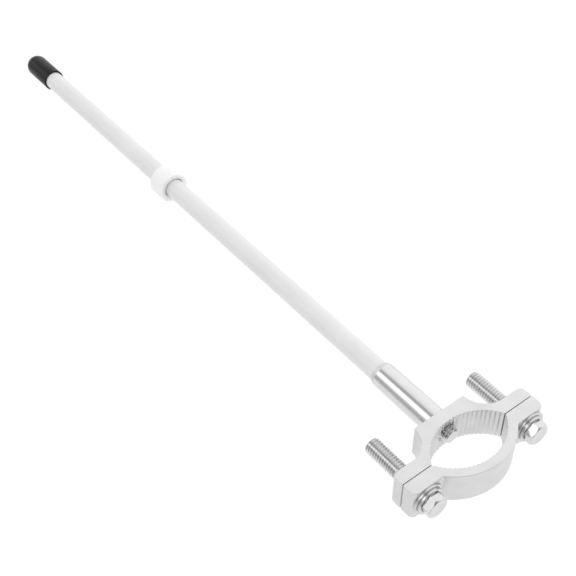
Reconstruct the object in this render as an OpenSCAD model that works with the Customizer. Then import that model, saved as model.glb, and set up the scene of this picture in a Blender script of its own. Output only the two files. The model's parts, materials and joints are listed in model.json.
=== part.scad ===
// Omnidirectional whip antenna on a two-piece serrated mast clamp.
// The origin is the middle of the clamp's bore. +Z is the bore's axis, +Y runs along the
// whip from the clamp to the tip, and +X points at the right-hand ear. Millimetres.

/* [Clamp] */
// Thickness of both clamp halves along the bore
clamp_t = 16.5; // [15:0.5:18]
// Width across the ears
clamp_w = 76; // [74:0.5:80]
// Distance between the two bolt axes
bolt_spacing = 60; // [58:0.5:61]
// Radius of the arc in each half, that of the largest mast
seat_r = 25.2; // [24.8:0.1:25.6]
// Depth of the arc in each half, measured from the parting plane
seat_depth = 12.5; // [12.2:0.1:12.8]
// Thickness of the jaw's band outside its arc
band_t = 4.4; // [4:0.1:5]
// Gap between the two halves when closed
parting_gap = 0.6; // [0.4:0.1:1]
// Thickness of the saddle's ears
saddle_ear_t = 6.3; // [5.5:0.1:7]
// Thickness of the jaw's ears
jaw_ear_t = 6.9; // [6:0.1:7.5]
// Width of the boss that carries the whip
boss_w = 29.2; // [28:0.2:31]
// Distance from the bore's middle to the boss's seat for the ferrule
boss_y = 18.6; // [18:0.1:20]
// Radius of the ears' rounded outer corners
ear_corner_r = 2.6; // [1:0.1:3]
// Teeth along each arc
teeth = 26; // [20:1:30]
// Height of each tooth
tooth_h = 0.6; // [0.3:0.1:0.8]

/* [Fasteners] */
// Diameter of the clamp bolts and of the whip's stud
thread_d = 7.94; // [7.8:0.02:8]
// Length of each bolt under its head
bolt_len = 37.4; // [34:0.2:42]
// Width of the bolt heads across flats
head_af = 10; // [9.6:0.1:12.7]
// Height of the bolt heads
head_h = 4.4; // [4:0.1:5.2]
// Turn of the bolt heads about their own axes, in degrees
head_turn = 18; // [0:1:59]
// Outer diameter of the flat washers
washer_d = 16; // [15:0.1:16.4]
// Thickness of the flat washers
washer_t = 1; // [0.8:0.1:1.2]
// Outer diameter of the spring washers
spring_washer_d = 13.6; // [13:0.1:14]
// Thickness of the spring washers, pressed flat
spring_washer_t = 1.2; // [1:0.1:1.5]

/* [Whip] */
// Diameter of the fibreglass radome tube
tube_d = 10.3; // [10:0.1:10.5]
// Wall thickness of the radome tube
tube_wall = 1.4; // [1.2:0.1:1.6]
// Distance from the bore's middle to the tip of the cap
tip_y = 374.6; // [360:0.2:390]
// Diameter of the ferrule
ferrule_d = 12.6; // [12.4:0.1:13]
// Length of the ferrule
ferrule_len = 37.4; // [35:0.2:40]
// Length of the ferrule's tapered mouth
mouth_len = 2.4; // [2:0.2:4]
// Depth of the ferrule's solid end, tapped for the stud
ferrule_floor = 11.4; // [10:0.2:12]
// Length of stud that stands into the clamp's bore
stud_poke = 3.4; // [2:0.1:4]
// Diameter of the tip cap
cap_d = 12.3; // [12:0.1:13]
// Length of the tip cap
cap_len = 25.6; // [23.6:0.2:30]
// Distance from the bore's middle to the lower face of the sliding collar
collar_y = 221.4; // [180:0.2:260]
// Length of the sliding collar
collar_len = 11; // [10:0.5:13]
// Diameter of the sliding collar
collar_d = 17; // [16:0.1:18]

/* [Inside the whip] */
// Diameter of the radiator rod
rod_d = 2; // [1.6:0.1:2.4]
// Length of the loading coil's former
former_len = 32; // [28:1:36]
// Diameter of the loading coil
coil_d = 6.6; // [6:0.1:6.8]
// Length of each centring spacer
spacer_len = 4; // [3:0.5:6]

/* [Hidden] */

round_fn = 96;
cut = 1;                                // how far a cutting tool runs past a face
glue_gap = 0.05;                        // radial gap filled with adhesive
run_gap = 0.08;                         // radial gap of a thread in its hole
clear_gap = 0.5;                        // radial gap of a bolt in a plain hole
collar_gap = 0.35;                      // radial gap between the collar and the tube

left = -bolt_spacing / 2;
right = bolt_spacing / 2;
thread_r = thread_d / 2;
tube_r = tube_d / 2;
tube_bore_r = tube_r - tube_wall;
seat_off = seat_r - seat_depth;         // from the parting plane to an arc's centre
chord = sqrt(pow(seat_r, 2) - pow(seat_off, 2));
arc_half = atan2(chord, seat_off);      // half the angle of an arc
tooth_step = 2 * arc_half / teeth;
saddle_back = parting_gap / 2 + saddle_ear_t;
jaw_front = -parting_gap / 2 - jaw_ear_t;
fillet_r = boss_y - saddle_back;        // concave corner from the boss to an ear
head_seat = jaw_front - washer_t - spring_washer_t;
tip_chamfer = 0.8;
head_chamfer_r = 0.95 * head_af / 2;
split_w = 1.4;
split_tilt = 25;

ferrule_top = boss_y + ferrule_len;
chamber_y = boss_y + ferrule_floor;     // floor of the ferrule's wide bore
insulator_len = 4;
tube_start = chamber_y + insulator_len;
cap_dome_r = cap_d / 2;
cap_start = tip_y - cap_len;
tube_end = tip_y - 5;
former_start = tube_start + 6;
former_end = former_start + former_len;
flange_r = tube_bore_r - glue_gap;
flange_t = 1.2;
core_r = coil_d / 2 - 0.7;              // the coil's wire is 0.7 thick
rod_r = rod_d / 2;
rod_sink = 3;                           // how far the rod enters its sockets
rod_start = former_end - rod_sink;
plug_len = 7;
rod_end = tube_end - plug_len + rod_sink;
spacer_span = rod_end - former_end;

// Turns a shape built along +Z so that it runs along +Y from the given point.
module along_y(x, y)
{
    translate([x, y, 0]) rotate([-90, 0, 0]) children();
}

module ring(r_out, r_in, len)
{
    difference() {
        cylinder(r = r_out, h = len, $fn = round_fn);
        translate([0, 0, -cut]) cylinder(r = r_in, h = len + 2 * cut, $fn = round_fn);
    }
}

// Outline of the serrated arc, about the arc's centre, opening towards -Y.
function arc_point(r, a) = [r * sin(a), r * cos(a)];
function serration() = concat(
    [for (i = [0 : teeth - 1]) each [
        arc_point(seat_r + tooth_h / 2, -arc_half + i * tooth_step),
        arc_point(seat_r - tooth_h / 2, -arc_half + (i + 0.5) * tooth_step)
    ]],
    [arc_point(seat_r + tooth_h / 2, arc_half)],
    [[chord + tooth_h, seat_off - parting_gap], [-chord - tooth_h, seat_off - parting_gap]]
);

module seat_cutter()
{
    translate([0, -seat_off]) polygon(serration());
}

// Square with its two far corners rounded: the end of an ear.
module ear_end(side, y0, y1, outer)
{
    x_in = side * (clamp_w / 2 - ear_corner_r);
    y_in = outer - sign(outer) * ear_corner_r;
    translate([min(x_in, side * clamp_w / 2), min(y0, y_in)])
        square([ear_corner_r, abs(y_in - y0)]);
    translate([x_in, y_in]) circle(r = ear_corner_r, $fn = round_fn);
}

module ear_bar(inner, outer)
{
    length = clamp_w - 2 * ear_corner_r;
    translate([-length / 2, min(inner, outer)]) square([length, abs(outer - inner)]);
    for (side = [-1, 1]) ear_end(side, inner, outer, outer);
}

module boss_outline()
{
    difference() {
        translate([-boss_w / 2 - fillet_r, saddle_back - cut])
            square([boss_w + 2 * fillet_r, boss_y - saddle_back + cut]);
        for (side = [-1, 1])
            translate([side * (boss_w / 2 + fillet_r), boss_y])
                circle(r = fillet_r, $fn = 2 * round_fn);
    }
}

module clamp_saddle()
{
    color("lightgray")
    difference() {
        linear_extrude(height = clamp_t, center = true)
            difference() {
                union() {
                    ear_bar(parting_gap / 2, saddle_back);
                    boss_outline();
                }
                seat_cutter();
            }
        for (x = [left, right])
            along_y(x, -cut)
                cylinder(r = thread_r + run_gap, h = saddle_back + 2 * cut, $fn = round_fn);
        along_y(0, seat_depth - 2 * cut)
            cylinder(r = thread_r + glue_gap, h = boss_y - seat_depth + 3 * cut, $fn = round_fn);
    }
}

module clamp_jaw()
{
    color("lightgray")
    difference() {
        linear_extrude(height = clamp_t, center = true)
            difference() {
                union() {
                    ear_bar(-parting_gap / 2, jaw_front);
                    intersection() {
                        translate([0, seat_off])
                            circle(r = seat_r + band_t, $fn = 3 * round_fn);
                        translate([-clamp_w / 2, -seat_r - band_t])
                            square([clamp_w, seat_r + band_t - parting_gap / 2]);
                    }
                }
                mirror([0, 1]) seat_cutter();
            }
        for (x = [left, right])
            along_y(x, jaw_front - cut)
                cylinder(r = thread_r + clear_gap, h = jaw_ear_t + 2 * cut, $fn = round_fn);
    }
}

// Hex bolt: a chamfered head, and a shank whose radius is the thread's crest.
module clamp_bolt(x)
{
    corner_r = head_af / sqrt(3);
    chamfer_drop = (corner_r - head_chamfer_r) * tan(30);
    color("silver") {
        along_y(x, head_seat - head_h) rotate([0, 0, head_turn])
            intersection() {
                cylinder(r = corner_r, h = head_h, $fn = 6);
                union() {
                    cylinder(r1 = head_chamfer_r, r2 = corner_r, h = chamfer_drop, $fn = round_fn);
                    translate([0, 0, chamfer_drop])
                        cylinder(r = corner_r + cut, h = head_h, $fn = round_fn);
                }
            }
        along_y(x, head_seat)
            cylinder(r = thread_r, h = bolt_len - tip_chamfer, $fn = round_fn);
        along_y(x, head_seat + bolt_len - tip_chamfer)
            cylinder(r1 = thread_r, r2 = thread_r - tip_chamfer, h = tip_chamfer, $fn = round_fn);
    }
}

module flat_washer(x)
{
    color("gainsboro")
        along_y(x, jaw_front - washer_t)
            ring(washer_d / 2, thread_r + clear_gap, washer_t);
}

// Split ring, pressed flat, with its slanted cut underneath.
module spring_washer(x)
{
    color("gray")
        along_y(x, head_seat)
            difference() {
                ring(spring_washer_d / 2, thread_r + clear_gap, spring_washer_t);
                translate([0, spring_washer_d / 2, spring_washer_t / 2])
                    rotate([0, split_tilt, 0])
                        cube([split_w, spring_washer_d / 2, 4 * spring_washer_t], center = true);
            }
}

// Turned ferrule: a solid end tapped for the stud, and a wide bore with a tapered mouth.
module base_ferrule()
{
    ferrule_r = ferrule_d / 2;
    bore_r = tube_r + glue_gap;
    lip_r = bore_r + 0.25;
    seat_chamfer = 0.4;
    color("whitesmoke")
        along_y(0, boss_y)
            rotate_extrude($fn = round_fn)
                polygon([
                    [thread_r + glue_gap, 0],
                    [ferrule_r - seat_chamfer, 0],
                    [ferrule_r, seat_chamfer],
                    [ferrule_r, ferrule_len - mouth_len],
                    [lip_r, ferrule_len],
                    [bore_r, ferrule_len],
                    [bore_r, ferrule_floor],
                    [thread_r + glue_gap, ferrule_floor]
                ]);
}

module ferrule_stud()
{
    start = seat_depth - stud_poke;
    color("silver") {
        along_y(0, start)
            cylinder(r1 = thread_r - tip_chamfer, r2 = thread_r, h = tip_chamfer, $fn = round_fn);
        along_y(0, start + tip_chamfer)
            cylinder(r = thread_r, h = chamber_y - start - tip_chamfer, $fn = round_fn);
    }
}

module radome_tube()
{
    color("white")
        along_y(0, tube_start)
            ring(tube_r, tube_bore_r, tube_end - tube_start);
}

// Pushed-on cap: a round end, a blind bore and a softened mouth.
module tip_cap()
{
    bore_r = tube_r + glue_gap;
    dome_z = cap_len - cap_dome_r;
    bore_len = tube_end - cap_start + 0.2;
    edge_r = 0.4;
    color("dimgray")
        along_y(0, cap_start)
            difference() {
                union() {
                    cylinder(r1 = cap_dome_r - edge_r, r2 = cap_dome_r, h = edge_r, $fn = round_fn);
                    translate([0, 0, edge_r])
                        cylinder(r = cap_dome_r, h = dome_z - edge_r, $fn = round_fn);
                    translate([0, 0, dome_z])
                        rotate_extrude($fn = round_fn)
                            intersection() {
                                circle(r = cap_dome_r, $fn = round_fn);
                                square(cap_dome_r + cut);
                            }
                }
                translate([0, 0, -cut]) cylinder(r = bore_r, h = bore_len + cut, $fn = round_fn);
            }
}

// Loose collar on the tube, with rounded rims.
module slide_collar()
{
    r_out = collar_d / 2;
    r_in = tube_r + collar_gap;
    rim_r = 0.8;
    color("white")
        along_y(0, collar_y)
            rotate_extrude($fn = round_fn)
                union() {
                    translate([r_in, 0]) square([r_out - rim_r - r_in, collar_len]);
                    translate([r_in, rim_r]) square([r_out - r_in, collar_len - 2 * rim_r]);
                    for (z = [rim_r, collar_len - rim_r])
                        translate([r_out - rim_r, z]) circle(r = rim_r, $fn = round_fn / 2);
                }
}

// Insulating disc at the bottom of the ferrule's bore, with the tube standing on it.
module base_insulator()
{
    color("ivory")
        along_y(0, chamber_y) ring(tube_r, rod_r + glue_gap, insulator_len);
}

// Pin that carries the feed from the stud to the coil.
module feed_pin()
{
    shoulder_r = 2 * rod_r;
    shoulder_len = 2;
    color("goldenrod") {
        along_y(0, chamber_y)
            cylinder(r = rod_r, h = former_start + rod_sink - chamber_y, $fn = round_fn);
        along_y(0, tube_start)
            cylinder(r = shoulder_r, h = shoulder_len, $fn = round_fn);
    }
}

// Spool with a socket in each end, for the feed pin and for the rod.
module coil_former()
{
    socket_r = rod_r + glue_gap;
    color("wheat")
        along_y(0, former_start)
            rotate_extrude($fn = round_fn)
                polygon([
                    [socket_r, 0],
                    [flange_r, 0],
                    [flange_r, flange_t],
                    [core_r, flange_t],
                    [core_r, former_len - flange_t],
                    [flange_r, former_len - flange_t],
                    [flange_r, former_len],
                    [socket_r, former_len],
                    [socket_r, former_len - rod_sink],
                    [0, former_len - rod_sink],
                    [0, rod_sink],
                    [socket_r, rod_sink]
                ]);
}

// The winding, as a sleeve of the coil's outer shape.
module loading_coil()
{
    end_gap = 0.3;
    color("chocolate")
        along_y(0, former_start + flange_t + end_gap)
            ring(coil_d / 2, core_r, former_len - 2 * (flange_t + end_gap));
}

module radiator_rod()
{
    color("peru")
        along_y(0, rod_start)
            cylinder(r = rod_r, h = rod_end - rod_start, $fn = round_fn);
}

module spacer(share)
{
    color("ivory")
        along_y(0, former_end + share * spacer_span)
            ring(tube_bore_r - glue_gap, rod_r + glue_gap, spacer_len);
}

// Plug that closes the tube under the cap and holds the rod's end.
module end_plug()
{
    color("ivory")
        along_y(0, tube_end - plug_len)
            difference() {
                cylinder(r = tube_bore_r - glue_gap, h = plug_len, $fn = round_fn);
                translate([0, 0, -cut])
                    cylinder(r = rod_r + glue_gap, h = rod_sink + cut, $fn = round_fn);
            }
}

clamp_saddle();
clamp_jaw();
clamp_bolt(left);  // clamp_bolt_left
clamp_bolt(right);  // clamp_bolt_right
flat_washer(left);  // flat_washer_left
flat_washer(right);  // flat_washer_right
spring_washer(left);  // spring_washer_left
spring_washer(right);  // spring_washer_right
base_ferrule();
ferrule_stud();
radome_tube();
tip_cap();
slide_collar();
base_insulator();
feed_pin();
coil_former();
loading_coil();
radiator_rod();
spacer(0.22);  // spacer_lower
spacer(0.5);  // spacer_middle
spacer(0.78);  // spacer_upper
end_plug();
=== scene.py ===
import json
import math

import bpy
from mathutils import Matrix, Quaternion, Vector


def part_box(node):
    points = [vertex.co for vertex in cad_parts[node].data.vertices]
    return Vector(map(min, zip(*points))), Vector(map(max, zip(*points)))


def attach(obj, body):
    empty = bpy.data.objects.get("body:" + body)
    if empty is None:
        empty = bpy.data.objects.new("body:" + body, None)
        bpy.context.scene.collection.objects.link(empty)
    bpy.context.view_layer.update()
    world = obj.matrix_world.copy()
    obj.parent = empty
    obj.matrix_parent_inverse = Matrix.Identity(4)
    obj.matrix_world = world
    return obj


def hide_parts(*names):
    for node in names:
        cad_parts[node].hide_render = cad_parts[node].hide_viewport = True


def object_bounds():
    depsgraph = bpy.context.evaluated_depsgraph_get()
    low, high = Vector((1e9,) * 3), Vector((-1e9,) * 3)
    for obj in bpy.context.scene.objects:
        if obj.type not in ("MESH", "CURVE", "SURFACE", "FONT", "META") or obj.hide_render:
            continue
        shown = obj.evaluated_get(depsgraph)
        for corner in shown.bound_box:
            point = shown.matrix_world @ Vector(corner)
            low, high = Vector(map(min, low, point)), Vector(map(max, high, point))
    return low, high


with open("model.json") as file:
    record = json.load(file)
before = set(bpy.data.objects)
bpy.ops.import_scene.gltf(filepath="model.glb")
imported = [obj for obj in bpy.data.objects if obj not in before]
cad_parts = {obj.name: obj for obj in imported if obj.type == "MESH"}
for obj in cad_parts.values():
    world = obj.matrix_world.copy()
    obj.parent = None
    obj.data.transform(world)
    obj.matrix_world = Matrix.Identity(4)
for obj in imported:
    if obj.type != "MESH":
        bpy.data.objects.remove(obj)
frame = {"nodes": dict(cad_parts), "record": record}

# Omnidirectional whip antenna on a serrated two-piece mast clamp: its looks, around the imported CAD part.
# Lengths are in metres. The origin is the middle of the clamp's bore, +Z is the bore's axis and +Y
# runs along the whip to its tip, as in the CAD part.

MM = 0.001
CAD_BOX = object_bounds()
MOUNT = {m["name"]: m for m in frame["record"]["mounts"]}["mast_clamp"]

# Sizes that the frame's boxes give.
SADDLE_LOW, SADDLE_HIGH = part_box("clamp_saddle")
JAW_LOW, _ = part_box("clamp_jaw")
BOLT_LOW, BOLT_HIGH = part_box("clamp_bolt_left")
WASHER_LOW, WASHER_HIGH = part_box("flat_washer_left")
SPRING_LOW, SPRING_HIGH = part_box("spring_washer_left")
FERRULE_LOW, FERRULE_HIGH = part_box("base_ferrule")
STUD_LOW, STUD_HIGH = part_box("ferrule_stud")
TUBE_LOW, TUBE_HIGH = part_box("radome_tube")
CAP_LOW, CAP_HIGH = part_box("tip_cap")
COLLAR_LOW, COLLAR_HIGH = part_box("slide_collar")
COIL_LOW, COIL_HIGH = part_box("loading_coil")
HALF_T = SADDLE_HIGH.z
HALF_W = SADDLE_HIGH.x
GAP = SADDLE_LOW.y / 2                 # the halves are drawn nearly closed
BOSS_Y = SADDLE_HIGH.y
BOLT_X = (WASHER_LOW.x + WASHER_HIGH.x) / 2
THREAD_R = STUD_HIGH.z
TUBE_R = TUBE_HIGH.z
MOUTH_Y = FERRULE_HIGH.y - 2.4 * MM     # where the ferrule's mouth starts to taper

# Sizes of the clamp's outline that no box gives.
SEAT_R = MOUNT["dims"]["r_mm"] * MM
SEAT_OFF = 12.7 * MM                    # from the parting plane to the middle of each arc
BAND_R = SEAT_OFF - JAW_LOW.y           # outside of the jaw's band
SADDLE_EAR = 6.6 * MM                   # how far back the saddle's ears reach
JAW_EAR = -WASHER_HIGH.y                # how far forward the jaw's ears reach
BOSS_HALF = 14.6 * MM
FILLET_R = BOSS_Y - SADDLE_EAR
EAR_CORNER = 2.6 * MM
BOSS_CORNER = 0.9 * MM
SMALL_CORNER = 0.6 * MM                 # corners at the parting plane
BAND_FILLET = 1.6 * MM                  # from the jaw's ears to its band
TEETH = 26
TOOTH_H = 0.42 * MM
TOOTH_STEPS = 10                        # points along one tooth
EDGE_R = 0.4 * MM                       # softened edges of the tumbled castings
PARTING_EDGE_R = 0.12 * MM
TOOTH_EDGE_R = 0.16 * MM

# Threads, 5/16 inch by 18 to the inch.
PITCH = 25.4 * MM / 18
THREAD_DEPTH = 0.6 * PITCH
THREAD_STEPS = 14                       # rings along one pitch
TIP_CHAMFER = 0.8 * MM


# ---------------------------------------------------------------- meshes

def mesh_object(name, verts, faces, sharp=math.radians(35)):
    """A smooth-shaded object whose edges are sharp where its faces turn by more than the angle."""
    mesh = bpy.data.meshes.new(name)
    mesh.from_pydata([tuple(v) for v in verts], [], faces)
    mesh.validate()
    mesh.shade_smooth()
    mesh.set_sharp_from_angle(angle=sharp)
    obj = bpy.data.objects.new(name, mesh)
    bpy.context.scene.collection.objects.link(obj)
    return obj


def even_angles(count):
    return [2 * math.pi * i / count for i in range(count)]


def spun(name, x, rings, angles, ends=None, sharp=math.radians(35)):
    """Skins rings around the line through x that runs along Y.

    A ring is (radius, y), each a number or a function of the angle from +X towards +Z. With ends, the
    first and last ring are closed at those two places on the line; without, the skin closes on itself.
    """
    def value(part, a):
        return part(a) if callable(part) else part

    verts = []
    for radius, y in rings:
        for a in angles:
            r = value(radius, a)
            verts.append((x + r * math.cos(a), value(y, a), r * math.sin(a)))
    n = len(angles)
    faces = []
    last = len(rings) - 1
    for k in range(len(rings) if ends is None else last):
        near, far = k * n, (k + 1) % len(rings) * n
        for i in range(n):
            j = (i + 1) % n
            faces.append((near + i, far + i, far + j, near + j))
    if ends is not None:
        first_mid, last_mid = len(verts), len(verts) + 1
        verts += [(x, ends[0], 0), (x, ends[1], 0)]
        for i in range(n):
            j = (i + 1) % n
            faces.append((first_mid, i, j))
            faces.append((last_mid, last * n + j, last * n + i))
    return mesh_object(name, verts, faces, sharp)


def arc(cx, cy, r, start, stop, steps):
    """Points along a round stretch, angles in degrees."""
    turns = [math.radians(start + (stop - start) * i / steps) for i in range(steps + 1)]
    return [(cx + r * math.cos(a), cy + r * math.sin(a)) for a in turns]


def mirrored(points):
    """The same stretch on the other side, walked in the other direction."""
    return [(-x, y) for x, y in reversed(points)]


def toothed_arc(radius, middle_y, end_y, upward):
    """The serrated arc about (0, middle_y), between its two crossings of end_y."""
    half = math.acos(abs(end_y - middle_y) / radius)
    count = TEETH * TOOTH_STEPS
    points = []
    for i in range(count + 1):
        phase = 2 * math.pi * (i / TOOTH_STEPS + 0.25)
        wave = math.asin(0.93 * math.cos(phase)) / math.asin(0.93)
        r = radius + wave * TOOTH_H / 2
        a = -half + 2 * half * i / count
        points.append((-r * math.sin(a), middle_y + upward * r * math.cos(a)))
    return points


def inward(points):
    """For each point of a closed outline, walked anticlockwise, the step that insets it by one unit."""
    steps = []
    for i, p in enumerate(points):
        before = Vector(p) - Vector(points[i - 1])
        after = Vector(points[(i + 1) % len(points)]) - Vector(p)
        n1 = Vector((-before.y, before.x)).normalized()
        n2 = Vector((-after.y, after.x)).normalized()
        middle = (n1 + n2).normalized()
        steps.append(middle / max(0.5, middle.dot(n1)))
    return steps


def plate(name, outline, edges, steps=3):
    """Extrudes an outline through the clamp's thickness and rounds both rims by each point's edge radius."""
    inset = inward(outline)
    n = len(outline)
    verts = []
    for side in (-1, 1):
        for k in range(steps + 1):
            turn = math.pi / 2 * (steps - k if side < 0 else k) / steps
            for (x, y), e, step in zip(outline, edges, inset):
                shift = step * e * (1 - math.cos(turn))
                verts.append((x + shift.x, y + shift.y, side * (HALF_T - e * (1 - math.sin(turn)))))
    faces = [tuple(reversed(range(n)))]
    rings = 2 * (steps + 1)
    for k in range(rings - 1):
        for i in range(n):
            j = (i + 1) % n
            faces.append((k * n + i, k * n + j, (k + 1) * n + j, (k + 1) * n + i))
    faces.append(tuple((rings - 1) * n + i for i in range(n)))
    return mesh_object(name, verts, faces, math.radians(44))


def hole_cutter(x, start, stop, radius, lip):
    """A drill along Y whose two ends flare by lip, for a hole with chamfered edges."""
    over = 0.6 * MM
    rings = [
        (radius + lip + over, start - over),
        (radius, start + lip),
        (radius, stop - lip),
        (radius + lip + over, stop + over),
    ]
    angles = [a + 0.021 for a in even_angles(64)]       # so that no corner meets the edge of a tooth
    return spun("cutter", x, rings, angles, (start - over, stop + over))


def drill(obj, cutters):
    """Cuts the drills out of the object and removes them."""
    for cutter in cutters:
        cut = obj.modifiers.new("cut", "BOOLEAN")
        cut.operation = "DIFFERENCE"
        cut.solver = "EXACT"
        cut.object = cutter
    settle(obj)
    for cutter in cutters:
        bpy.data.objects.remove(cutter)


def settle(obj):
    """Applies the object's modifiers."""
    evaluated = obj.evaluated_get(bpy.context.evaluated_depsgraph_get())
    mesh = bpy.data.meshes.new_from_object(evaluated)
    obj.modifiers.clear()
    obj.data = mesh


def even_normals(obj):
    """Keeps large flat faces flat beside the small rounded strips along their edges."""
    obj.data.shade_smooth()
    obj.data.set_sharp_from_angle(angle=math.radians(44))
    weighted = obj.modifiers.new("normals", "WEIGHTED_NORMAL")
    weighted.keep_sharp = True
    settle(obj)


# ---------------------------------------------------------------- materials

def material(name):
    """A new material with its shader and the object's own coordinates."""
    made = bpy.data.materials.new(name)
    made.use_nodes = True
    tree = made.node_tree
    shader = tree.nodes["Principled BSDF"]
    place = tree.nodes.new("ShaderNodeTexCoord").outputs["Object"]
    return made, tree, shader, place


def stretched(tree, place, scale):
    """The coordinates scaled by three factors."""
    mapping = tree.nodes.new("ShaderNodeMapping")
    mapping.inputs["Scale"].default_value = scale
    tree.links.new(place, mapping.inputs["Vector"])
    return mapping.outputs["Vector"]


def noise(tree, place, scale, detail=4.0, roughness=0.5):
    made = tree.nodes.new("ShaderNodeTexNoise")
    made.inputs["Scale"].default_value = scale
    made.inputs["Detail"].default_value = detail
    made.inputs["Roughness"].default_value = roughness
    tree.links.new(place, made.inputs["Vector"])
    return made.outputs["Fac"]


def ramp(tree, value, low, high, start=0.3, stop=0.7):
    """Maps the middle of a noise onto low to high; numbers give a number and colours a colour."""
    if isinstance(low, tuple):
        made = tree.nodes.new("ShaderNodeValToRGB")
        made.color_ramp.elements[0].position = start
        made.color_ramp.elements[1].position = stop
        made.color_ramp.elements[0].color = (*low, 1)
        made.color_ramp.elements[1].color = (*high, 1)
        tree.links.new(value, made.inputs["Fac"])
        return made.outputs["Color"]
    made = tree.nodes.new("ShaderNodeMapRange")
    made.inputs["From Min"].default_value = start
    made.inputs["From Max"].default_value = stop
    made.inputs["To Min"].default_value = low
    made.inputs["To Max"].default_value = high
    tree.links.new(value, made.inputs["Value"])
    return made.outputs["Result"]


def bump(tree, height, depth, strength, below=None):
    """A bump of real depth in metres, on top of another one."""
    made = tree.nodes.new("ShaderNodeBump")
    made.inputs["Strength"].default_value = strength
    made.inputs["Distance"].default_value = depth
    tree.links.new(height, made.inputs["Height"])
    if below is not None:
        tree.links.new(below, made.inputs["Normal"])
    return made.outputs["Normal"]


def grey(level, warm=0.0):
    return (level * (1 + warm), level, level * (1 - warm))


def alloy():
    """Die-cast aluminium, tumbled to an even satin, with fine dents and draw marks along the bore."""
    made, tree, shader, place = material("clamp_alloy")
    cloud = noise(tree, place, 90, 3)
    grain = noise(tree, place, 2600, 5, 0.65)
    dents = noise(tree, place, 900, 3)
    shader.inputs["Metallic"].default_value = 1.0
    tree.links.new(ramp(tree, cloud, grey(0.66), grey(0.72)), shader.inputs["Base Color"])
    tree.links.new(ramp(tree, grain, 0.36, 0.52), shader.inputs["Roughness"])
    drawn = noise(tree, stretched(tree, place, (1, 1, 0.03)), 1500, 4, 0.65)
    marks = bump(tree, drawn, 0.12 * MM, 0.6)
    coarse = bump(tree, dents, 0.05 * MM, 0.4, marks)
    tree.links.new(bump(tree, grain, 0.02 * MM, 0.6, coarse), shader.inputs["Normal"])
    return made


def steel(name, level, low_gloss, high_gloss):
    """Bright stainless steel with fine rolling and handling marks."""
    made, tree, shader, place = material(name)
    marks = noise(tree, stretched(tree, place, (1, 6, 1)), 900, 4, 0.6)
    cloud = noise(tree, place, 220, 2)
    shader.inputs["Metallic"].default_value = 1.0
    tree.links.new(ramp(tree, cloud, grey(level * 0.95), grey(level)), shader.inputs["Base Color"])
    tree.links.new(ramp(tree, marks, low_gloss, high_gloss), shader.inputs["Roughness"])
    tree.links.new(bump(tree, marks, 0.01 * MM, 0.25), shader.inputs["Normal"])
    return made


def chrome():
    """Mirror-bright plating over fine lathe marks, left matt on the tapered mouth."""
    made, tree, shader, place = material("ferrule_chrome")
    turning = noise(tree, stretched(tree, place, (0.02, 1, 0.02)), 6000, 3, 0.6)
    haze = noise(tree, place, 160, 3)
    shader.inputs["Metallic"].default_value = 1.0
    tree.links.new(ramp(tree, haze, grey(0.68), grey(0.70)), shader.inputs["Base Color"])
    along = tree.nodes.new("ShaderNodeSeparateXYZ")
    tree.links.new(place, along.inputs["Vector"])
    matt = ramp(tree, along.outputs["Y"], 0.0, 0.5, MOUTH_Y - 0.1 * MM, MOUTH_Y + 0.1 * MM)
    gloss = tree.nodes.new("ShaderNodeMath")
    tree.links.new(ramp(tree, haze, 0.05, 0.11), gloss.inputs[0])
    tree.links.new(matt, gloss.inputs[1])
    tree.links.new(gloss.outputs["Value"], shader.inputs["Roughness"])
    tree.links.new(bump(tree, turning, 0.004 * MM, 0.25), shader.inputs["Normal"])
    return made


def gelcoat():
    """White gelcoat over fibreglass: faint lengthwise streaks under a soft gloss."""
    made, tree, shader, place = material("radome_white")
    streaks = noise(tree, stretched(tree, place, (1, 0.04, 1)), 900, 4, 0.6)
    cloud = noise(tree, place, 60, 3)
    waves = noise(tree, place, 350, 2)
    tree.links.new(ramp(tree, cloud, grey(0.725), grey(0.76)), shader.inputs["Base Color"])
    tree.links.new(ramp(tree, streaks, 0.30, 0.42), shader.inputs["Roughness"])
    low = bump(tree, waves, 0.03 * MM, 0.3)
    tree.links.new(bump(tree, streaks, 0.008 * MM, 0.4, low), shader.inputs["Normal"])
    return made


def plastic(name, low, high, low_gloss, high_gloss):
    """Moulded plastic with a fine satin texture and some light let through."""
    made, tree, shader, place = material(name)
    grain = noise(tree, place, 3200, 4, 0.6)
    cloud = noise(tree, place, 180, 3)
    tree.links.new(ramp(tree, cloud, low, high), shader.inputs["Base Color"])
    tree.links.new(ramp(tree, grain, low_gloss, high_gloss), shader.inputs["Roughness"])
    tree.links.new(bump(tree, grain, 0.01 * MM, 0.4), shader.inputs["Normal"])
    shader.inputs["Subsurface Weight"].default_value = 0.6
    shader.inputs["Subsurface Radius"].default_value = (1, 1, 1)
    shader.inputs["Subsurface Scale"].default_value = 4 * MM
    return made


def vinyl():
    """Dip-moulded black vinyl: soft satin with faint dips and pale dust."""
    made, tree, shader, place = material("cap_black")
    dust = noise(tree, place, 1900, 6, 0.7)
    dips = noise(tree, place, 260, 2)
    shader.inputs["Specular IOR Level"].default_value = 0.22
    shader.inputs["Sheen Weight"].default_value = 0.2
    shader.inputs["Sheen Roughness"].default_value = 0.4
    tree.links.new(ramp(tree, dust, grey(0.004), grey(0.012), 0.45, 0.75), shader.inputs["Base Color"])
    tree.links.new(ramp(tree, dips, 0.34, 0.44), shader.inputs["Roughness"])
    low = bump(tree, dips, 0.05 * MM, 0.4)
    tree.links.new(bump(tree, dust, 0.01 * MM, 0.3, low), shader.inputs["Normal"])
    return made


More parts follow.
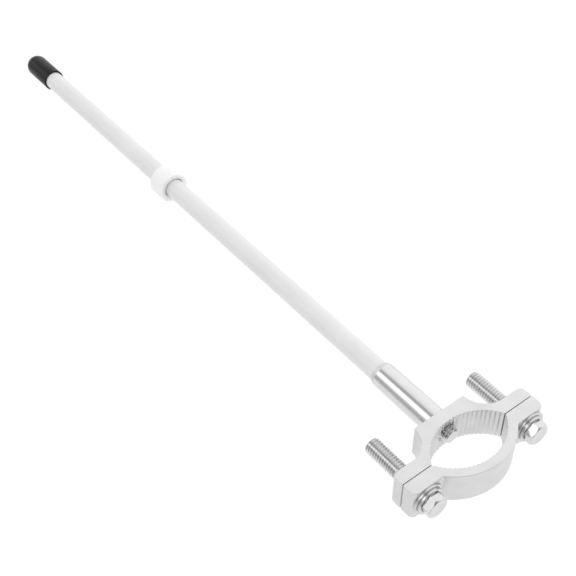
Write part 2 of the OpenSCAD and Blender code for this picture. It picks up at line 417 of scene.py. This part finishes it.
def turned_metal(name, low, high, low_gloss, high_gloss):
    """Turned or drawn metal with fine marks round its axis."""
    made, tree, shader, place = material(name)
    turning = noise(tree, stretched(tree, place, (0.05, 1, 0.05)), 3500, 3, 0.6)
    tarnish = noise(tree, place, 300, 4)
    shader.inputs["Metallic"].default_value = 1.0
    tree.links.new(ramp(tree, tarnish, low, high), shader.inputs["Base Color"])
    tree.links.new(ramp(tree, turning, low_gloss, high_gloss), shader.inputs["Roughness"])
    tree.links.new(bump(tree, turning, 0.01 * MM, 0.3), shader.inputs["Normal"])
    return made


MATERIALS = {
    "clamp_alloy": alloy(),
    "bolt_steel": steel("bolt_steel", 0.66, 0.08, 0.18),
    "washer_steel": steel("washer_steel", 0.62, 0.12, 0.24),
    "ferrule_chrome": chrome(),
    "radome_white": gelcoat(),
    "cap_black": vinyl(),
    "collar_white": plastic("collar_white", grey(0.86), grey(0.9), 0.45, 0.6),
    "insulator_ivory": plastic("insulator_ivory", (0.70, 0.67, 0.58), (0.76, 0.73, 0.64), 0.4, 0.55),
    "contact_brass": turned_metal("contact_brass", (0.62, 0.45, 0.18), (0.76, 0.58, 0.27), 0.18, 0.34),
    "winding_copper": turned_metal("winding_copper", (0.58, 0.24, 0.10), (0.72, 0.34, 0.16), 0.15, 0.28),
}


def finish_piece(obj, body, slot, *nodes):
    """Gives a piece the material of its slot, puts it on its body and hides the CAD nodes that it stands for.
    """
    obj.data.materials.clear()
    obj.data.materials.append(MATERIALS[slot])
    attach(obj, body)
    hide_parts(*nodes)
    return obj


# ---------------------------------------------------------------- clamp

def with_edges(stretches):
    """Joins (points, edge radius) stretches into one outline and its edge radii."""
    joined = [(p, edge) for points, edge in stretches for p in points]
    apart = [
        (p, edge) for i, (p, edge) in enumerate(joined)
        if (Vector(p) - Vector(joined[i - 1][0])).length > 0.01 * MM
    ]
    return [p for p, _ in apart], [edge for _, edge in apart]


def clamp_saddle():
    """The rear half: a boss for the ferrule, two ears with tapped holes and a serrated arc."""
    foot = arc(HALF_W - SMALL_CORNER, GAP + SMALL_CORNER, SMALL_CORNER, -90, 0, 3)
    right = (
        arc(HALF_W - EAR_CORNER, SADDLE_EAR - EAR_CORNER, EAR_CORNER, 0, 90, 10)
        + arc(BOSS_HALF + FILLET_R, BOSS_Y, FILLET_R, -90, -175, 24)
        + arc(BOSS_HALF - BOSS_CORNER, BOSS_Y - BOSS_CORNER, BOSS_CORNER, 0, 90, 4)
    )
    seat = toothed_arc(SEAT_R, -SEAT_OFF, GAP, 1)
    outline, edges = with_edges([
        (foot, PARTING_EDGE_R), (right, EDGE_R), (mirrored(right), EDGE_R),
        (mirrored(foot), PARTING_EDGE_R), (seat[::-1], TOOTH_EDGE_R),
    ])
    obj = plate("clamp_saddle_casting", outline, edges)
    wall = SEAT_R - SEAT_OFF
    drill(obj, [
        hole_cutter(-BOLT_HALF, GAP, SADDLE_EAR, THREAD_R + 0.08 * MM, 0.35 * MM),
        hole_cutter(BOLT_HALF, GAP, SADDLE_EAR, THREAD_R + 0.08 * MM, 0.35 * MM),
        hole_cutter(0, wall, BOSS_Y, THREAD_R + 0.06 * MM, 0.7 * MM),
    ])
    even_normals(obj)
    return finish_piece(obj, "antenna", "clamp_alloy", "clamp_saddle")


def clamp_jaw():
    """The front half: a band with a serrated arc, and two ears with plain holes."""
    fillet_x = math.sqrt((BAND_R + BAND_FILLET) ** 2 - (SEAT_OFF + JAW_EAR + BAND_FILLET) ** 2)
    lean = math.degrees(math.atan2(SEAT_OFF + JAW_EAR + BAND_FILLET, fillet_x))
    band = arc(0, SEAT_OFF, BAND_R, -90, -lean, 30)
    right = (
        band
        + arc(fillet_x, -JAW_EAR - BAND_FILLET, BAND_FILLET, 180 - lean, 90, 6)[1:]
        + arc(HALF_W - EAR_CORNER, -JAW_EAR + EAR_CORNER, EAR_CORNER, -90, 0, 10)
    )
    foot = arc(HALF_W - SMALL_CORNER, -GAP - SMALL_CORNER, SMALL_CORNER, 0, 90, 3)
    seat = toothed_arc(SEAT_R, SEAT_OFF, -GAP, -1)
    outline, edges = with_edges([
        (right, EDGE_R), (foot, PARTING_EDGE_R), (seat, TOOTH_EDGE_R),
        (mirrored(foot), PARTING_EDGE_R), (mirrored(right), EDGE_R),
    ])
    obj = plate("clamp_jaw_casting", outline, edges)
    drill(obj, [
        hole_cutter(side * BOLT_HALF, -JAW_EAR, -GAP, THREAD_R + 0.5 * MM, 0.35 * MM) for side in (-1, 1)
    ])
    even_normals(obj)
    return finish_piece(obj, "jaw", "clamp_alloy", "clamp_jaw")


# ---------------------------------------------------------------- fasteners

BOLT_HALF = abs(BOLT_X)
HEAD_SEAT = SPRING_LOW.y
HEAD_FRONT = BOLT_LOW.y
HEAD_AF = 10 * MM
HEAD_CORNER = 0.3 * MM
HEAD_TURN = {"left": -14, "right": -20}  # a corner of each head, in degrees from +X towards +Z
HEAD_FACE_R = 0.985 * HEAD_AF / 2


def thread_ring(y, end_low, end_high):
    """The radius round a right-hand thread at y, tapered by a chamfer at the two ends."""
    limit = THREAD_R - max(0, TIP_CHAMFER - (y - end_low)) - max(0, TIP_CHAMFER - (end_high - y))

    def radius(a):
        phase = (y / PITCH + a / (2 * math.pi)) % 1
        ridge = abs(2 * phase - 1)                      # 0 at the root, 1 at the crest
        height = min(1, max(0, (ridge - 0.1) / 0.75))
        height = height * height * (3 - 2 * height) * 0.4 + height * 0.6
        return min(limit, THREAD_R - THREAD_DEPTH * (1 - height))
    return radius


def thread_rings(start, stop, end_low, end_high):
    count = max(2, round((stop - start) / PITCH * THREAD_STEPS))
    places = [start + (stop - start) * i / count for i in range(count + 1)]
    return [(thread_ring(y, end_low, end_high), y) for y in places]


def hex_angles(turn):
    """Angles round a bolt, close together at the six corners of its head."""
    near = [0, 0.9, 1.8, 4, 8]
    side = near + [14, 20, 26, 30, 34, 40, 46] + [60 - a for a in reversed(near[1:])]
    return [turn + math.radians(60 * k + a) for k in range(6) for a in side]


def hex_radius(a, turn):
    """Radius of the hexagon with rounded corners."""
    off = (a - turn) % (math.pi / 3)                    # angle past a corner
    off = min(off, math.pi / 3 - off)
    flat = HEAD_AF / 2 / math.cos(math.pi / 6 - off)
    middle = (HEAD_AF / 2 - HEAD_CORNER) / math.cos(math.pi / 6)
    side = middle * math.sin(off)
    if side >= HEAD_CORNER:
        return flat
    return min(flat, middle * math.cos(off) + math.sqrt(HEAD_CORNER ** 2 - side ** 2))


def clamp_bolt(side, x):
    """Hex bolt: a chamfered head with a dished top and a washer face, and a right-hand thread."""
    slope = math.tan(math.radians(50))
    turn = math.radians(HEAD_TURN[side])
    rear = HEAD_SEAT - 0.25 * MM                        # the head's corners stop short of its washer face
    face_r = 0.9 * HEAD_AF / 2
    end = BOLT_HIGH.y

    def side_r(a):
        return hex_radius(a, turn)

    def cone(a):
        return HEAD_FRONT + max(0.09 * MM, (side_r(a) - HEAD_FACE_R) * slope)

    dish = 0.3 * MM
    rings = [
        (0.5 * HEAD_FACE_R, HEAD_FRONT + dish),
        (0.56 * HEAD_FACE_R, HEAD_FRONT + 0.8 * dish),
        (0.8 * HEAD_FACE_R, HEAD_FRONT + 0.06 * dish),
        (HEAD_FACE_R - 0.35 * MM, HEAD_FRONT),
        (HEAD_FACE_R - 0.12 * MM, HEAD_FRONT + 0.015 * MM),
        (HEAD_FACE_R - 0.03 * MM, HEAD_FRONT + 0.045 * MM),
        (lambda a: side_r(a) - 0.08 * MM, lambda a: cone(a) - 0.02 * MM),
        (side_r, lambda a: cone(a) + 0.06 * MM),
        (side_r, rear - 0.2 * MM),
        (lambda a: side_r(a) - 0.15 * MM, rear),
        (face_r, rear),
        (face_r, HEAD_SEAT),
        (THREAD_R - 0.02 * MM, HEAD_SEAT),
    ]
    low = HEAD_SEAT - TIP_CHAMFER
    rings += thread_rings(HEAD_SEAT + 0.3 * MM, end, low, end)
    obj = spun("hex_bolt_" + side, x, rings, hex_angles(turn), (HEAD_FRONT + dish, end), math.radians(28))
    return finish_piece(obj, "bolt_" + side, "bolt_steel", "clamp_bolt_" + side)


def ring_section(r_in, r_out, low, high, corner, steps):
    """Section of a ring with four rounded corners, as (radius, y) points."""
    middles = (
        (r_out - corner, low + corner, -90),
        (r_out - corner, high - corner, 0),
        (r_in + corner, high - corner, 90),
        (r_in + corner, low + corner, 180),
    )
    return [p for r, y, start in middles for p in arc(r, y, corner, start, start + 90, steps)]


def rounded_ring(name, x, r_in, r_out, low, high, corner):
    return spun(name, x, ring_section(r_in, r_out, low, high, corner, 4), even_angles(96))


def flat_washer(side, x):
    obj = rounded_ring("washer_" + side, x, THREAD_R + 0.5 * MM, WASHER_HIGH.z,
                       WASHER_LOW.y, WASHER_HIGH.y, 0.25 * MM)
    return finish_piece(obj, "jaw", "washer_steel", "flat_washer_" + side)


def spring_washer(side, x):
    """Split ring with a slanted cut underneath."""
    low, high = SPRING_LOW.y, SPRING_HIGH.y
    r_in, r_out = THREAD_R + 0.5 * MM, SPRING_HIGH.z
    corner = 0.18 * MM
    gap = math.radians(7)
    slant = math.tan(math.radians(25))
    section = ring_section(r_in, r_out, low, high, corner, 2)
    steps = 90
    verts, faces = [], []
    for i in range(steps + 1):
        a = -math.pi / 2 + gap + (2 * math.pi - 2 * gap) * i / steps
        end = 2 * i / steps - 1
        for r, y in section:
            lean = slant * (y - (low + high) / 2) / r_out * end ** 8
            verts.append((x + r * math.cos(a - lean), y, r * math.sin(a - lean)))
    n = len(section)
    for i in range(steps):
        for k in range(n):
            m = (k + 1) % n
            faces.append((i * n + k, i * n + m, (i + 1) * n + m, (i + 1) * n + k))
    faces.append(tuple(range(n))[::-1])
    faces.append(tuple(steps * n + k for k in range(n)))
    obj = mesh_object("lock_washer_" + side, verts, faces)
    return finish_piece(obj, "jaw", "washer_steel", "spring_washer_" + side)


# ---------------------------------------------------------------- whip

def base_ferrule():
    """Turned ferrule: chamfered foot, straight body, tapered mouth with a thin lip, and a stepped bore."""
    r = FERRULE_HIGH.z
    low, high = FERRULE_LOW.y, FERRULE_HIGH.y
    bore = TUBE_R + 0.05 * MM
    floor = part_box("base_insulator")[0].y
    rings = [
        (r - 0.45 * MM, low), (r - 0.12 * MM, low + 0.12 * MM), (r, low + 0.45 * MM),
        (r, MOUTH_Y - 0.15 * MM), (r - 0.04 * MM, MOUTH_Y + 0.05 * MM),
        (bore + 0.35 * MM, high - 0.12 * MM), (bore + 0.22 * MM, high), (bore, high),
        (bore, floor), (THREAD_R + 0.05 * MM, floor), (THREAD_R + 0.05 * MM, low),
    ]
    obj = spun("chrome_ferrule", 0, rings, even_angles(128), sharp=math.radians(25))
    return finish_piece(obj, "antenna", "ferrule_chrome", "base_ferrule")


def ferrule_stud():
    low, high = STUD_LOW.y, STUD_HIGH.y
    rings = thread_rings(low, high, low, high + TIP_CHAMFER)
    obj = spun("threaded_stud", 0, rings, even_angles(72), (low, high), math.radians(28))
    return finish_piece(obj, "antenna", "bolt_steel", "ferrule_stud")


def radome_tube():
    low, high = TUBE_LOW.y, TUBE_HIGH.y
    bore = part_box("end_plug")[1].z + 0.05 * MM
    count = 60
    outside = [(TUBE_R, low + (high - low) * i / count) for i in range(count + 1)]
    obj = spun("fibreglass_tube", 0, outside + [(bore, high), (bore, low)], even_angles(96))
    return finish_piece(obj, "antenna", "radome_white", "radome_tube")


def tip_cap():
    """Pushed-on cap: a rolled rim at its mouth, straight sides and a round end."""
    r = CAP_HIGH.z
    low, high = CAP_LOW.y, CAP_HIGH.y
    bore = TUBE_R + 0.05 * MM
    inside = TUBE_HIGH.y + 0.2 * MM
    rim = arc(low + 0.3 * MM, r - 0.3 * MM, 0.3 * MM, 180, 90, 4)
    dome = arc(high - r, 0, r, 90, 4, 22)
    outside = [(pr, y) for y, pr in rim + dome]
    rings = [(bore, inside), (bore, low + 0.25 * MM), (bore + 0.15 * MM, low)] + outside
    obj = spun("vinyl_cap", 0, rings, even_angles(96), (inside, high))
    return finish_piece(obj, "antenna", "cap_black", "tip_cap")


def slide_collar():
    """Loose moulded collar with rounded rims and softened bore edges."""
    obj = rounded_ring("sliding_collar", 0, TUBE_R + 0.35 * MM, COLLAR_HIGH.z,
                       COLLAR_LOW.y, COLLAR_HIGH.y, 0.7 * MM)
    return finish_piece(obj, "collar", "collar_white", "slide_collar")


def loading_coil():
    """Close-wound copper wire on the former, each turn a wire's width from the next."""
    wire = 0.35 * MM
    pitch = 2.3 * wire
    middle_r = COIL_HIGH.z - wire
    turns = int((COIL_HIGH.y - COIL_LOW.y - 2 * wire) / pitch)
    steps, sides = 28, 8
    verts, faces = [], []
    for i in range(turns * steps + 1):
        a = 2 * math.pi * i / steps
        y = COIL_LOW.y + wire + pitch * i / steps
        for k in range(sides):
            b = 2 * math.pi * k / sides
            r = middle_r + wire * math.cos(b)
            verts.append((r * math.cos(a), y + wire * math.sin(b), -r * math.sin(a)))
    for i in range(turns * steps):
        for k in range(sides):
            m = (k + 1) % sides
            faces.append((i * sides + k, (i + 1) * sides + k, (i + 1) * sides + m, i * sides + m))
    faces.append(tuple(range(sides)))
    faces.append(tuple(turns * steps * sides + k for k in reversed(range(sides))))
    obj = mesh_object("copper_winding", verts, faces, math.radians(60))
    return finish_piece(obj, "antenna", "winding_copper", "loading_coil")


clamp_saddle()
clamp_jaw()
for name, at in (("left", -BOLT_HALF), ("right", BOLT_HALF)):
    clamp_bolt(name, at)
    flat_washer(name, at)
    spring_washer(name, at)
base_ferrule()
ferrule_stud()
radome_tube()
tip_cap()
slide_collar()
loading_coil()

# CAD nodes whose own shape is kept take their slot's material.
SLOTS = {s["node"]: s["material_slot"] for s in frame["record"]["subparts"]}
for node, obj in frame["nodes"].items():
    obj.data.materials.clear()
    obj.data.materials.append(MATERIALS[SLOTS[node]])


# ---------------------------------------------------------------- studio

FLOOR_DROP = 0.12
FLOOR_R = 9.0

# Light round the whip's axis: degrees from straight up towards -X, and how bright it is there.
SKY = (
    (-100, 1.24), (-60, 1.22), (-30, 1.18), (-10, 1.08), (1, 0.92), (9, 0.55), (23, 0.52), (29, 0.95),
    (34, 1.4), (40, 1.75), (57, 1.75), (63, 1.22), (72, 0.78), (80, 0.57), (104, 0.57),
)
CAMERA_SIDE = 0.3                       # how bright the studio is behind the camera
PAINTED_SHADE_EDGE = (-0.22, -0.65)             # where the floor's painted shade, standing in for light falling off towards -X, starts and stops along X
KEY_FROM = Vector((0.75, -0.5, 0.5))    # direction of the soft key light
KEY_DISTANCE = 0.9
KEY_SIZE = 1.2
KEY_POWER = 1.6


def studio_floor():
    """Round pale floor with a faint mottle and painted shade that darkens it towards -X, wide enough to meet
    the horizon.
    """
    rings = [FLOOR_R, FLOOR_R * 0.2]
    verts = [(0, 0, 0)]
    faces = []
    count = 64
    for r in rings:
        verts += [(r * math.cos(a), r * math.sin(a), 0) for a in even_angles(count)]
    for i in range(count):
        j = (i + 1) % count
        faces.append((1 + i, 1 + j, 1 + count + j, 1 + count + i))
        faces.append((0, 1 + count + i, 1 + count + j))
    obj = mesh_object("floor", verts, faces)
    obj.location.z = -HALF_T - FLOOR_DROP
    made, tree, shader, place = material("floor_paper")
    split = tree.nodes.new("ShaderNodeSeparateXYZ")
    tree.links.new(place, split.inputs["Vector"])
    # painted shade: the floor's colour falls from full to 0.6 towards -X, standing in for light that falls off
    # there
    share = ramp(tree, split.outputs["X"], 0.0, 1.0, PAINTED_SHADE_EDGE[1], PAINTED_SHADE_EDGE[0])
    painted_floor_shade = ramp(tree, share, grey(0.6), grey(1.0), 0.0, 1.0)
    mottle = ramp(tree, noise(tree, place, 2), grey(0.94), grey(0.96))
    mix = tree.nodes.new("ShaderNodeMix")
    mix.data_type = "RGBA"
    mix.blend_type = "MULTIPLY"
    mix.inputs["Factor"].default_value = 1.0
    tree.links.new(mottle, mix.inputs["A"])
    tree.links.new(painted_floor_shade, mix.inputs["B"])
    tree.links.new(mix.outputs["Result"], shader.inputs["Base Color"])
    shader.inputs["Roughness"].default_value = 1.0
    shader.inputs["Specular IOR Level"].default_value = 0.0
    obj.data.materials.append(made)


def studio_world():
    """Soft light from all round, with a bright band and two dark ones that show in polished metal."""
    world = bpy.data.worlds.new("studio")
    bpy.context.scene.world = world
    world.use_nodes = True
    tree = world.node_tree
    nodes, links = tree.nodes, tree.links
    split = nodes.new("ShaderNodeSeparateXYZ")
    links.new(nodes.new("ShaderNodeTexCoord").outputs["Generated"], split.inputs["Vector"])
    flip = nodes.new("ShaderNodeMath")
    flip.operation = "MULTIPLY"
    flip.inputs[1].default_value = -1
    links.new(split.outputs["X"], flip.inputs[0])
    turn = nodes.new("ShaderNodeMath")
    turn.operation = "ARCTAN2"
    links.new(flip.outputs["Value"], turn.inputs[0])
    links.new(split.outputs["Z"], turn.inputs[1])
    share = nodes.new("ShaderNodeMapRange")
    share.inputs["From Min"].default_value = -math.pi
    share.inputs["From Max"].default_value = math.pi
    links.new(turn.outputs["Value"], share.inputs["Value"])
    levels = nodes.new("ShaderNodeValToRGB")
    brightest = max(level for _, level in SKY)
    elements = levels.color_ramp.elements
    while len(elements) < len(SKY):
        elements.new(0.5)
    for element, (angle, level) in zip(elements, SKY):
        element.position = (angle + 180) / 360
        element.color = (*grey(level / brightest), 1)
    links.new(share.outputs["Result"], levels.inputs["Fac"])
    near = nodes.new("ShaderNodeMapRange")
    near.inputs["From Min"].default_value = -0.95
    near.inputs["From Max"].default_value = -0.5
    near.inputs["To Min"].default_value = CAMERA_SIDE * brightest
    near.inputs["To Max"].default_value = brightest
    links.new(split.outputs["Y"], near.inputs["Value"])
    background = nodes["Background"]
    links.new(levels.outputs["Color"], background.inputs["Color"])
    links.new(near.outputs["Result"], background.inputs["Strength"])


def key_light():
    """A soft box to the right of the camera, aimed at the middle of the object and unseen in polished metal."""
    data = bpy.data.lights.new("key", "AREA")
    data.size = KEY_SIZE
    data.energy = KEY_POWER
    obj = bpy.data.objects.new("key", data)
    obj.visible_glossy = False
    bpy.context.scene.collection.objects.link(obj)
    back = KEY_FROM.normalized()
    obj.location = (CAD_BOX[0] + CAD_BOX[1]) / 2 + back * KEY_DISTANCE
    obj.rotation_mode = "QUATERNION"
    obj.rotation_quaternion = (-back).to_track_quat("-Z", "Y")


# ---------------------------------------------------------------- camera

CAMERA_AZIMUTH = -38.17                 # 0 looks along +Y, 90 along -X
CAMERA_ELEVATION = 44.97
CAMERA_ROLL = -0.15
CAMERA_DISTANCE = 0.55
CAMERA_AIM = Vector((0.0008, 0.1243, 0))
CAMERA_LENS = 70.5                      # on a 36 mm sensor


def studio_camera():
    azimuth, elevation = math.radians(CAMERA_AZIMUTH), math.radians(CAMERA_ELEVATION)
    back = Vector((
        math.sin(azimuth) * math.cos(elevation),
        -math.cos(azimuth) * math.cos(elevation),
        math.sin(elevation),
    ))
    data = bpy.data.cameras.new("camera")
    data.lens = CAMERA_LENS
    data.sensor_width = 36
    data.clip_start = 0.01
    data.clip_end = 100
    obj = bpy.data.objects.new("camera", data)
    bpy.context.scene.collection.objects.link(obj)
    obj.location = CAMERA_AIM + back * CAMERA_DISTANCE
    obj.rotation_mode = "QUATERNION"
    obj.rotation_quaternion = (-back).to_track_quat("-Z", "Y")
    obj.rotation_quaternion.rotate(Quaternion(back, math.radians(CAMERA_ROLL)))
    bpy.context.scene.camera = obj


studio_floor()
studio_world()
key_light()
studio_camera()
bpy.context.scene.view_settings.view_transform = "Standard"
